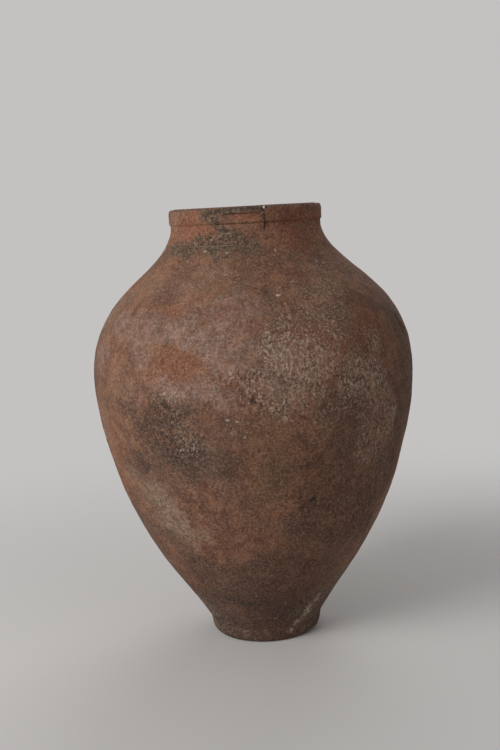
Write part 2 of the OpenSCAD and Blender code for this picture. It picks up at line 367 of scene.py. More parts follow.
def ovals(points, areas, drift):
    """The strongest of a list of ovals on the wall at each point."""
    total = np.zeros(len(points))
    for az, z, width, height, strength in areas:
        middle, normal = on_wall(az, z)
        v = math.radians(az)
        away = points - middle + drift * min(1, min(width, height) / 50)
        across = away @ np.array([math.cos(v), math.sin(v), 0]) / (width / 2)
        inward = away @ np.array([-math.sin(v), math.cos(v), 0]) / max(width, 60)
        far = np.sqrt(across ** 2 + inward ** 2 + (away[:, 2] / (height / 2)) ** 2)
        total = np.maximum(total, strength * (1 - ramp(far, 0.35, 1.0)))
    return total


def zone_values(points):
    """How strongly each kind of weathering lies at each point of the wall; the soot and crust zones also carry
    painted shade.
    """
    near, far = wander(points, 30, 13, 110), wander(points, 60, 26, 115)
    behind = np.clip(ramp(points[:, 1], -110, -10) + 0.18, 0, 1)
    high = points[:, 2]

    def wild(size, seed, strength, low=0.08, top=0.42):
        return strength * behind * ramp(layered(points, size, 3, seed), low, top)

    return {
        "red": np.maximum(ovals(points, RED_AREAS, near), wild(90, 130, 0.8)),
        "tan": ovals(points, TAN_AREAS, near),
        "ochre": np.maximum(ovals(points, OCHRE_AREAS, near), wild(75, 134, 0.8)),
        "beige": np.maximum(ovals(points, BEIGE_AREAS, near), wild(120, 138, 0.9) * (1 - ramp(high, 250, 330))),
        "lilac": np.maximum(ovals(points, LILAC_AREAS, near), wild(110, 142, 0.9) * ramp(high, 270, 350)),
        "crust": np.maximum(ovals(points, CRUST_AND_SHADE_AREAS, far), wild(100, 146, 0.9) * (1 - ramp(high, 330, 480))),
        "soot_and_shade": np.maximum(ovals(points, SOOT_AND_SHADE_AREAS, near),
                           wild(120, 150, 0.8, 0.25, 0.55) * (1 - ramp(high, 400, 500))),
        "lime": np.maximum(ovals(points, LIME_AREAS, far), wild(85, 154, 0.7)),
        "foot_lime": ovals(points, FOOT_LIME_AREAS, near),
        "smear": np.maximum(ovals(points, NECK_SMEAR_AREAS, near), ovals(points, RIM_SMEAR_AREAS, near)),
    }


def add_zones(mesh, verts):
    for name, values in zone_values(verts).items():
        attribute = mesh.attributes.new(name, "FLOAT", "POINT")
        attribute.data.foreach_set("value", values.astype(np.float32))


# Meshes

def spun(points, azimuth):
    """Turns profile points (M, 2) by the azimuths (M, N), in radians, into (M, N, 3)."""
    r, z = points[:, 0][:, None], points[:, 1][:, None]
    return np.stack([r * np.sin(azimuth), -r * np.cos(azimuth), z + 0 * azimuth], 2)


def profile_normals(points, sharp):
    """Outward normals of a closed profile that runs up the outside, over and down."""
    ahead = np.roll(points, -1, 0) - points
    behind = points - np.roll(points, 1, 0)
    ahead /= np.linalg.norm(ahead, axis=1)[:, None] + 1e-9
    behind /= np.linalg.norm(behind, axis=1)[:, None] + 1e-9
    along = ahead + behind
    along /= np.linalg.norm(along, axis=1)[:, None] + 1e-9
    return np.stack([along[:, 1], -along[:, 0]], 1)


def add_piece(name, node, slot, verts, faces, uvs, sharp_edges, material):
    mesh = bpy.data.meshes.new(name)
    mesh.vertices.add(len(verts))
    mesh.vertices.foreach_set("co", (verts * MM).astype(np.float32).ravel())
    sizes = np.array([len(f) for f in faces])
    corners = np.concatenate([np.asarray(f) for f in faces]).astype(np.int32)
    mesh.loops.add(len(corners))
    mesh.loops.foreach_set("vertex_index", corners)
    mesh.polygons.add(len(faces))
    starts = np.concatenate([[0], np.cumsum(sizes)[:-1]]).astype(np.int32)
    mesh.polygons.foreach_set("loop_start", starts)
    mesh.polygons.foreach_set("loop_total", sizes.astype(np.int32))
    mesh.update(calc_edges=True)
    mesh.validate()
    mesh.shade_smooth()
    ends = np.empty(len(mesh.edges) * 2, np.int32)
    mesh.edges.foreach_get("vertices", ends)
    ends = ends.reshape(-1, 2)
    sharp = sharp_edges(ends)
    attribute = mesh.attributes.new("sharp_edge", "BOOLEAN", "EDGE")
    attribute.data.foreach_set("value", sharp)
    layer = mesh.uv_layers.new(name="OFBake")
    layer.data.foreach_set("uv", uvs.astype(np.float32).ravel())
    piece = bpy.data.objects.new(name, mesh)
    bpy.context.collection.objects.link(piece)
    mesh.materials.append(material)
    if slot in WALL_SLOTS:
        add_zones(mesh, verts)
    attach(piece, "root")
    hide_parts(node)
    return piece


def ring_faces(m, n):
    """Quads between m closed rows of n columns that close on themselves too."""
    i, j = np.meshgrid(np.arange(m), np.arange(n), indexing="ij")
    i2, j2 = (i + 1) % m, (j + 1) % n
    quads = np.stack([i * n + j, i * n + j2, i2 * n + j2, i2 * n + j], 2).reshape(-1, 4)
    u0, v0 = j / n, i / m
    u1, v1 = (j + 1) / n, (i + 1) / m
    uv = np.stack([u0, v0, u1, v0, u1, v1, u0, v1], 2).reshape(-1, 2)
    return quads, uv


def closed_ring(name, node, slot, points, sharp, relief, material, columns=COLUMNS):
    """A closed ring about the axis. relief(points, rows) gives the shift along the normal."""
    m, n = len(points), columns
    azimuth = np.linspace(-math.pi, math.pi, n, endpoint=False)[None, :] + np.zeros((m, 1))
    verts = shifted(points, azimuth, sharp, relief)
    quads, uv = ring_faces(m, n)
    rows_sharp = np.array(sharp)

    def sharp_edges(ends):
        a, b = ends[:, 0] // n, ends[:, 1] // n
        return (a == b) & rows_sharp[a]

    return add_piece(name, node, slot, verts, quads, uv, sharp_edges, material)


def shifted(points, azimuth, sharp, relief):
    m, n = azimuth.shape
    place = spun(points, azimuth)
    normal = spun(profile_normals(points, sharp), azimuth)
    flat = place.reshape(-1, 3)
    rows = np.repeat(np.arange(m), n)
    d = relief(flat, rows)
    return flat + d[:, None] * normal.reshape(-1, 3)


def lined(points, row):
    """The same corners, with more points between them no further apart than row."""
    out = []
    for p, q in zip(points, points[1:]):
        k = max(1, math.ceil(np.linalg.norm(np.array(q) - p) / row))
        out += [np.array(p) + (np.array(q) - p) * i / k for i in range(k)]
    return out + [np.array(points[-1])]


def quarter(centre, r, start, steps=7):
    turn = [math.radians(start + 90 * i / steps) for i in range(steps + 1)]
    return [np.array([centre[0] + r * math.cos(v), centre[1] + r * math.sin(v)]) for v in turn]


def make_course(name, a, b, material, slot="terracotta"):
    outer = [outer_point(a, b, t) for t in course_steps(a, b, ROW)]
    inner = [inner_point(a, b, t) for t in course_steps(a, b, INNER_ROW)[::-1]]
    points = np.array(outer + [groove_point(b)] + inner + [groove_point(a)])
    n_out = len(outer)
    sharp = [False] * len(points)
    for i in (0, n_out - 1, n_out, n_out + 1, len(points) - 2, len(points) - 1):
        sharp[i] = True
    outer_n = np.array([out_of(course_point(a, b, t)[2]) for t in course_steps(a, b, ROW)])

    def relief(p, rows):
        d = np.zeros(len(p))
        outside = rows < n_out
        inside = (rows > n_out) & (rows < len(points) - 1)
        d[outside] = outer_relief(p[outside])
        d[inside] = inner_relief(p[inside])
        return d

    true = {"rows": n_out, "normals": outer_n}
    return course_ring(name, slot, points, sharp, relief, material, true)


def course_ring(name, slot, points, sharp, relief, material, true):
    """A closed ring whose outer rows are shifted along the outline's own normals, so
    that the edges of two courses stay together at their joint."""
    m, n = len(points), COLUMNS
    azimuth = np.linspace(-math.pi, math.pi, n, endpoint=False)[None, :] + np.zeros((m, 1))
    place = spun(points, azimuth)
    flat_normals = profile_normals(points, sharp)
    flat_normals[:true["rows"]] = true["normals"]
    normal = spun(flat_normals, azimuth)
    flat = place.reshape(-1, 3)
    d = relief(flat, np.repeat(np.arange(m), n))
    verts = flat + d[:, None] * normal.reshape(-1, 3)
    quads, uv = ring_faces(m, n)
    rows_sharp = np.array(sharp)

    def sharp_edges(ends):
        a, b = ends[:, 0] // n, ends[:, 1] // n
        return (a == b) & rows_sharp[a]

    return add_piece(name, name, slot, verts, quads, uv, sharp_edges, material)


def make_base(material):
    """The foot and floor: a disc whose profile starts and ends on the axis."""
    inner = inner_point(FOOT, LOWER, 0)
    edge = quarter((FOOT_R - FOOT_EDGE_R, FOOT_EDGE_R), FOOT_EDGE_R, -90)
    wall = lined([edge[-1], outer_point(FOOT, LOWER, 0)], ROW)
    under = lined([np.array([2.0, 0.0]), edge[0]], 5)
    top = lined([inner, np.array([inner[0], FLOOR_T]), np.array([2.0, FLOOR_T])], INNER_ROW)
    points = np.array(under[:-1] + edge[:-1] + wall + [groove_point(FOOT)] + top)
    first_wall = len(under) - 1
    last_wall = len(under) + len(edge) + len(wall) - 3
    m, n = len(points), COLUMNS
    azimuth = np.linspace(-math.pi, math.pi, n, endpoint=False)[None, :] + np.zeros((m, 1))
    place = spun(points, azimuth)
    normal = profile_normals(points, None)
    normal[last_wall] = out_of(slope(FOOT))
    normal = spun(normal, azimuth).reshape(-1, 3)
    flat = place.reshape(-1, 3)
    rows = np.repeat(np.arange(m), n)
    d = np.zeros(len(flat))
    wall_rows = (rows >= first_wall) & (rows <= last_wall)
    worn = 0.35 * layered(flat[wall_rows], 14, 2, 31) - 0.35
    d[wall_rows] = (outer_relief(flat[wall_rows]) + worn) * ramp(flat[wall_rows][:, 2], 0, 5)
    floor_rows = (rows > last_wall + 2) & (flat[:, 2] <= FLOOR_T + 0.01)
    d[floor_rows] = 0.5 * noise(flat[floor_rows], 22, 33) - 0.3
    verts = flat + d[:, None] * normal
    verts[:, 2] = np.maximum(verts[:, 2], 0)
    verts = np.vstack([verts, [[0, 0, 0.0]], [[0, 0, FLOOR_T - 0.3]]])
    i, j = np.meshgrid(np.arange(m - 1), np.arange(n), indexing="ij")
    j2 = (j + 1) % n
    quads = np.stack([i * n + j, i * n + j2, (i + 1) * n + j2, (i + 1) * n + j], 2).reshape(-1, 4)
    uv = np.stack([j / n, i / m, (j + 1) / n, i / m, (j + 1) / n, (i + 1) / m, j / n, (i + 1) / m], 2)
    k = np.arange(n)
    k2 = (k + 1) % n
    low = np.stack([k2, k, 0 * k + m * n], 1)
    high = np.stack([(m - 1) * n + k, (m - 1) * n + k2, 0 * k + m * n + 1], 1)
    low_uv = np.stack([(k + 1) / n, 0 * k, k / n, 0 * k, (k + 0.5) / n, 0 * k], 1).reshape(-1, 2)
    high_uv = np.stack([k / n, 1 + 0 * k, (k + 1) / n, 1 + 0 * k, (k + 0.5) / n, 1 + 0 * k], 1)
    faces = list(quads) + list(low) + list(high)
    uvs = np.vstack([uv.reshape(-1, 2), low_uv, high_uv.reshape(-1, 2)])
    sharp_rows = np.zeros(m + 1, bool)
    sharp_rows[[last_wall, last_wall + 1, last_wall + 2]] = True

    def sharp_edges(ends):
        a, b = ends[:, 0] // n, ends[:, 1] // n
        return (a == b) & sharp_rows[np.minimum(a, m)]

    return add_piece("base", "base", "foot_clay", verts, faces, uvs, sharp_edges, material)


def make_lute(name, a, b, c, material):
    """The coil smeared inside over the joint b, drawn out unevenly by the fingers."""
    t0, t1 = 1 - LUTE_H / 2 / (b[0] - a[0]), LUTE_H / 2 / (c[0] - b[0])
    low, high = inner_point(a, b, t0), inner_point(b, c, t1)
    along = (high - low) / np.linalg.norm(high - low)
    inward = np.array([-along[1], along[0]])
    coil = [high + (low - high) * v + LUTE_T * math.sin(math.pi * v) * inward for v in np.linspace(0, 1, 13)[:-1]]
    wall_side = lined([low, inner_point(a, b, 1), high], INNER_ROW)[:-1]
    points = np.array(wall_side + coil)
    first = len(wall_side)
    seed = 40 + int(b[0]) % 7

    def relief(p, rows):
        d = np.zeros(len(p))
        inside = rows > first
        d[inside] = 0.9 * noise(p[inside], 26, seed) + 0.3 * noise(p[inside], 9, seed) - 0.4
        return d

    sharp = [i in (0, first) for i in range(len(points))]
    return closed_ring(name, name, "inner_clay", points, sharp, relief, material, 360)


def make_foot_lute(material):
    inner = inner_point(FOOT, LOWER, 0)
    high = inner_point(FOOT, LOWER, LUTE_H / 2 / (LOWER[0] - FOOT[0]))
    toe = np.array([inner[0] - LUTE_H / 2, FLOOR_T])
    bulge = np.array([-1.0, 1.0]) * LUTE_T / 2
    coil = [high + (toe - high) * v + math.sin(math.pi * v) * bulge for v in np.linspace(0, 1, 13)[:-1]]
    wall_side = lined([toe, np.array([inner[0], FLOOR_T]), inner, high], INNER_ROW)[:-1]
    points = np.array(wall_side + coil)
    first = len(wall_side)

    def relief(p, rows):
        d = np.zeros(len(p))
        inside = rows > first
        d[inside] = 0.5 * noise(p[inside], 20, 45)
        return d

    sharp = [i in (0, first) for i in range(len(points))]
    return closed_ring("foot_lute", "foot_lute", "inner_clay", points, sharp, relief, material, 360)


# The neck and rim, in arcs between the breaks

def break_azimuth(which, r, z, grow):
    """Azimuth in radians of a break's plane, moved out by grow, at radius r and height z."""
    az, angle = math.radians(which[0]), math.radians(which[1])
    ragged = 0.6 * np.sin(z * 0.45 + which[0]) + 0.2 * np.sin(z * 1.3)
    x = (grow + ragged * ramp(z, CROWN[0], CROWN[0] + 6)) - math.sin(angle) * (z - NECK[0])
    return az + np.arcsin(np.clip(x / (r * math.cos(angle)), -1, 1))


def rim_section():
    rim_r, mouth_r = NECK[1] + RIM_OUT, NECK[1] - NECK[3]
    outer_turn = quarter((rim_r - RIM_EDGE_R, RIM_TOP - RIM_EDGE_R), RIM_EDGE_R, 0)
    inner_turn = quarter((mouth_r + MOUTH_EDGE_R, RIM_TOP - MOUTH_EDGE_R), MOUTH_EDGE_R, 90)
    face = lined([np.array([rim_r, NECK[0] + RIM_OUT]), outer_turn[0]], 0.9)
    top = lined([outer_turn[-1], inner_turn[0]], 1.2)
    return face[:-1] + outer_turn[:-1] + top + inner_turn[1:]


def chipped(points):
    """Points inside a chip's ball go out to its face, which is a little uneven."""
    out = points.copy()
    rim_r = NECK[1] + RIM_OUT
    away = (RIM_EDGE_R + CHIP_R - CHIP_D) * math.sqrt(0.5)
    r, z = rim_r - RIM_EDGE_R + away, RIM_TOP - RIM_EDGE_R + away
    for az in CHIP_AZIMUTHS:
        v = math.radians(az)
        centre = np.array([r * math.sin(v), -r * math.cos(v), z])
        d = out - centre
        far = np.linalg.norm(d, axis=1)
        radius = CHIP_R * (1 + 0.10 * noise(out, 3.5, 50) + 0.05 * noise(out, 1.6, 51))
        inside = far < radius
        out[inside] = centre + d[inside] / far[inside, None] * radius[inside, None]
    return out


def rim_relief(points):
    """Wear of the rim's face and top, its flake and its crack, all inward."""
    z = points[:, 2]
    az = np.degrees(np.arctan2(points[:, 0], -points[:, 1]))
    r = np.hypot(points[:, 0], points[:, 1])
    flat = points * np.array([0.25, 0.25, 1.0])
    d = -0.45 + 0.32 * layered(points, 9, 3, 60) + 0.22 * noise(flat, 4.5, 66)
    high = ramp(z, 544, 549)
    d += high * (1.0 * noise(points, 16, 68) + 0.8 * noise(points, 5, 69) - 1.1)
    low = ramp(z, 527.5, 530) * (1 - ramp(z, 530.5, 534))
    d += low * (0.55 * noise(points, 12, 70) - 0.35)
    return np.where(z > 544, np.minimum(d, -0.05), d)


def flake_depth(points):
    z = points[:, 2] + 0.9 * noise(points, 8, 72)
    az = np.degrees(np.arctan2(points[:, 0], -points[:, 1])) + 1.2 * noise(points, 6, 73)
    across = ramp(az, -17, -14) * (1 - ramp(az, 9, 12.5))
    deep = np.clip((z - 530.5) / 10.5, 0, 1) * (1 - ramp(z, 541.2, 542.2))
    return 1.9 * across * deep


def crack_depth(points):
    z = points[:, 2]
    r = np.hypot(points[:, 0], points[:, 1])
    wander = 0.45 * np.sin(z * 0.55) + 0.3 * np.sin(z * 1.7 + 1)
    turn = np.arctan2(points[:, 0], -points[:, 1]) - math.radians(CRACK_AZ)
    x = np.abs(turn * r - wander + 0.02 * (z - 535))
    open_to = 0.85 - 0.45 * ramp(z, 522, 540) + 0.5 * ramp(z, 540, 546)
    line = np.clip(1 - x / open_to, 0, 1) ** 0.5 * ramp(z, RIM_TOP - CRACK_H - 2, RIM_TOP - CRACK_H + 4)
    notch_half = 0.6 + np.clip((z - (RIM_TOP - NOTCH_H)) / NOTCH_H, 0, 1) * NOTCH_W / 2
    notch = np.clip(1 - x / notch_half, 0, 1) * ramp(z, RIM_TOP - NOTCH_H - 1, RIM_TOP - NOTCH_H + 1)
    outside = ramp(r, NECK[1] - 7, NECK[1] - 3)
    return outside * np.maximum(CRACK_D * 0.7 * line, CRACK_D * notch)


def arc_piece(name, node, slot, sections, material):
    """One object of closed arcs. Each is (profile, normals, sharp rows, relief, start,
    end, columns): start and end give an azimuth for each radius and height."""
    verts, faces, uvs, sharp_keys, base = [], [], [], [], 0
    for points, normals, sharp, relief, start, end, columns in sections:
        m, n = len(points), len(columns)
        r, z = points[:, 0], points[:, 1]
        a, b = start(r, z)[:, None], end(r, z)[:, None]
        ref_a, ref_b = columns[0], columns[-1]
        c = np.asarray(columns)[None, :]
        reach = (ref_b - ref_a) / 2
        near_a = 1 - ramp(c - ref_a, 0, reach)
        near_b = 1 - ramp(ref_b - c, 0, reach)
        azimuth = c + near_a * (a - ref_a) + near_b * (b - ref_b)
        flat = spun(points, azimuth).reshape(-1, 3)
        normal = spun(normals, azimuth).reshape(-1, 3)
        rows = np.repeat(np.arange(m), n)
        shifted_to = chipped(flat + relief(flat, rows)[:, None] * normal)
        verts.append(shifted_to)
        i, j = np.meshgrid(np.arange(m), np.arange(n - 1), indexing="ij")
        i2 = (i + 1) % m
        quads = np.stack([i * n + j, i * n + j + 1, i2 * n + j + 1, i2 * n + j], 2).reshape(-1, 4)
        u0, u1, v0, v1 = j / n, (j + 1) / n, i / m, (i + 1) / m
        uv = np.stack([u0, v0, u1, v0, u1, v1, u0, v1], 2).reshape(-1, 2)
        k = np.arange(m)
        cap_a = base + k[::-1] * n
        cap_b = base + k * n + n - 1
        faces += list(quads + base) + [cap_a, cap_b]
        cap_uv = np.stack([(r - r.min()) / 60, (z - z.min()) / 60], 1)
        uvs += [uv, cap_uv[::-1], cap_uv]
        sharp_keys.append((base, m, n, np.array(sharp)))
        base += m * n

    def sharp_edges(ends):
        out = np.zeros(len(ends), bool)
        for first, m, n, sharp in sharp_keys:
            inside = (ends[:, 0] >= first) & (ends[:, 0] < first + m * n)
            ra, rb = (ends[:, 0] - first) // n, (ends[:, 1] - first) // n
            ca, cb = (ends[:, 0] - first) % n, (ends[:, 1] - first) % n
            at_cap = ((ca == 0) & (cb == 0)) | ((ca == n - 1) & (cb == n - 1))
            along = (ra == rb) & sharp[np.clip(ra, 0, m - 1)]
            out |= inside & (at_cap | along)
        return out

    return add_piece(name, node, slot, np.vstack(verts), faces, np.vstack(uvs), sharp_edges, material)


def arc_columns(low, high, step=0.75):
    """Azimuths in radians from low to high degrees, closer together at the crack."""
    even = np.arange(low, high, step * 0.75)
    fine = np.arange(CRACK_AZ - 2.4, CRACK_AZ + 2.4, 0.16)
    both = np.concatenate([even, fine[(fine > low) & (fine < high)], [high]])
    both = np.unique(np.round(both, 4))
    return np.radians(both[np.concatenate([[True], np.diff(both) > 0.08])])


def neck_profile(low_z, with_rim):
    """The closed section of the neck from low_z up, with or without the rim on it."""
    low_t = (low_z - CROWN[0]) / (NECK[0] - CROWN[0])
    t_out = low_t + (1 - low_t) * course_steps(CROWN, NECK, 0.8)
    t_in = (low_t + (1 - low_t) * course_steps(CROWN, NECK, 2.5))[::-1]
    outer = [outer_point(CROWN, NECK, t) for t in t_out]
    inner = [inner_point(CROWN, NECK, t) for t in t_in]
    top = rim_section() if with_rim else [groove_point(NECK)]
    lift = np.array([0, low_z - CROWN[0]])
    points = np.array(outer + top + inner + [groove_point(CROWN) + lift])
    normals = profile_normals(points, None)
    for i, t in enumerate(t_out):
        normals[i] = out_of(course_point(CROWN, NECK, t)[2])
    n_out = len(outer)
    sharp = np.zeros(len(points), bool)
    sharp[[0, len(points) - 1, len(points) - 2]] = True
    if with_rim:
        sharp[n_out] = True
    else:
        sharp[[n_out - 1, n_out, n_out + 1]] = True
    return points, normals, sharp, n_out


def rim_profile():
    """The closed section of the rim alone, on its groove."""
    points = [np.array([NECK[1], NECK[0]])] + rim_section()
    points += lined([points[-1], np.array([NECK[1] - NECK[3], NECK[0]])], 2.5)[1:]
    points += [groove_point(NECK)]
    points = np.array(points)
    normals = profile_normals(points, None)
    normals[0] = (1, 0)
    sharp = np.zeros(len(points), bool)
    sharp[[0, 1, len(points) - 2, len(points) - 1]] = True
    return points, normals, sharp


def neck_relief(points):
    """The relief of the wall, giving way to the rim's own above the neck."""
    mix = ramp(points[:, 2], NECK[0] - 9, NECK[0])
    wall = outer_relief(points)
    rim = rim_relief(points)
    return wall * (1 - mix) + rim * mix


def ring_relief(inside_r):
    def relief(points, rows):
        r = np.hypot(points[:, 0], points[:, 1])
        outside = r > inside_r(points[:, 2])
        d = np.where(outside, neck_relief(points), 0.5 * inner_relief(points) - 0.3)
        flaked = np.where(outside, flake_depth(points) + crack_depth(points), 0)
        return d - flaked
    return relief


def mid_wall(z):
    """Radius of the middle of the neck's wall at height z."""
    t = np.clip((z - CROWN[0]) / (NECK[0] - CROWN[0]), 0, 1)
    mid = [0.5 * (outer_point(CROWN, NECK, k) + inner_point(CROWN, NECK, k))[0] for k in (0, 0.5, 1)]
    return np.interp(t, [0, 0.5, 1], mid)


def after_break(grow):
    return lambda r, z: break_azimuth(BREAK_RIGHT, r, z, grow)


def before_break(grow):
    return lambda r, z: break_azimuth(BREAK_LEFT, r, z, -grow)


def whole_turn_later(edge):
    return lambda r, z: edge(r, z) + 2 * math.pi


def make_neck(clay, red_clay, mortar):
    wear = ring_relief(mid_wall)
    rest = arc_columns(BREAK_RIGHT[0], BREAK_LEFT[0] + 360)
    points, normals, sharp, n_out = neck_profile(CROWN[0], False)
    end = whole_turn_later(before_break(MORTAR_T))
    section = (points, normals, sharp, wear, after_break(MORTAR_T), end, rest)
    arc_piece("neck_ring", "neck_ring", "terracotta", [section], clay)
    points, normals, sharp = rim_profile()
    section = (points, normals, sharp, wear, after_break(MORTAR_T), end, rest)
    arc_piece("rim_band", "rim_band", "terracotta", [section], clay)

    def proud(p, rows):
        return np.minimum(wear(p, rows) + 0.25, np.where(p[:, 2] > 544, -0.05, 9))
    points, normals, sharp, n_out = neck_profile(CROWN[0] + MORTAR_T, True)
    kept = arc_columns(BREAK_LEFT[0], BREAK_RIGHT[0])
    section = (points, normals, sharp, proud, before_break(0), after_break(0), kept)
    arc_piece("rim_sherd", "rim_sherd", "red_clay", [section], red_clay)
    make_mortar(wear, mortar)


def make_mortar(wear, mortar):
    """Mortar up both breaks and under the sherd, a little sunk and crumbled."""
    def sunk(p, rows):
        return np.minimum(wear(p, rows) - 0.15 + 0.3 * noise(p, 4, 80), np.where(p[:, 2] > 544, -0.05, 9))

    points, normals, sharp, n_out = neck_profile(CROWN[0], True)
    narrow = np.radians(np.linspace(0, 1.0, 5))
    right = (points, normals, sharp, sunk, after_break(0), after_break(MORTAR_T),
             math.radians(BREAK_RIGHT[0]) + narrow)
    left = (points, normals, sharp, sunk, before_break(MORTAR_T), before_break(0),
            math.radians(BREAK_LEFT[0]) - narrow[::-1])
    lift = np.array([0, MORTAR_T])
    low_t = MORTAR_T / (NECK[0] - CROWN[0])
    under = [outer_point(CROWN, NECK, 0), outer_point(CROWN, NECK, low_t), groove_point(CROWN) + lift]
    under += [inner_point(CROWN, NECK, low_t), inner_point(CROWN, NECK, 0), groove_point(CROWN)]
    under = np.array(under)
    flat_normals = profile_normals(under, None)
    columns = arc_columns(BREAK_LEFT[0], BREAK_RIGHT[0])

    def under_sunk(p, rows):
        r = np.hypot(p[:, 0], p[:, 1])
        return np.where(r > CROWN[1] - 4, sunk(p, rows), 0)
    bottom = (under, flat_normals, np.ones(6, bool), under_sunk, before_break(0), after_break(0), columns)
    arc_piece("sherd_mortar", "sherd_mortar", "mortar", [right, left, bottom], mortar)


def make_plug(material):
    """The lump of lime left in the notch over the crack."""
    rows, columns = 14, 24
    turn = math.radians(CRACK_AZ)
    centre_r = NECK[1] + RIM_OUT - 3.4
    centre = np.array([centre_r * math.sin(turn), -centre_r * math.cos(turn), RIM_TOP - NOTCH_H + PLUG_H / 2 + 0.6])
    across = np.array([math.cos(turn), math.sin(turn), 0])
    inward = np.array([-math.sin(turn), math.cos(turn), 0])
    verts = []
    for i in range(1, rows):
        for j in range(columns):
            v, w = math.pi * i / rows, 2 * math.pi * j / columns
            side = 1.25 + 0.5 * math.cos(v)
            verts.append(centre + across * side * math.sin(v) * math.cos(w)
                         + inward * 3.0 * math.sin(v) * math.sin(w) + np.array([0, 0, 2.0 * math.cos(v)]))
    verts += [centre + np.array([0, 0, 2.0]), centre - np.array([0, 0, 2.0])]
    verts = np.array(verts)
    away = verts - centre
    verts = verts + away * (0.10 * noise(verts, 1.8, 90))[:, None]
    faces, n, last = [], columns, (rows - 1) * columns
    for j in range(n):
        k = (j + 1) % n
        faces.append(np.array([last, j, k]))
        faces.append(np.array([last + 1, last - n + k, last - n + j]))
    for i in range(rows - 2):
        for j in range(n):
            k = (j + 1) % n
            faces.append(np.array([i * n + j, (i + 1) * n + j, (i + 1) * n + k, i * n + k]))
    uvs = np.concatenate([verts[f] @ np.stack([across, [0, 0, 1]], 1) for f in faces]) * 0.1 % 1
    return add_piece("lime_plug", "lime_plug", "lime", verts, faces, uvs, lambda e: np.zeros(len(e), bool), material)


# Materials

def linear(colour):
    """A colour as it is seen, 0 to 255, for a shader."""
    def one(c):
        c /= 255
        return c / 12.92 if c <= 0.04045 else ((c + 0.055) / 1.055) ** 2.4
    return tuple(one(c) for c in colour) + (1.0,)


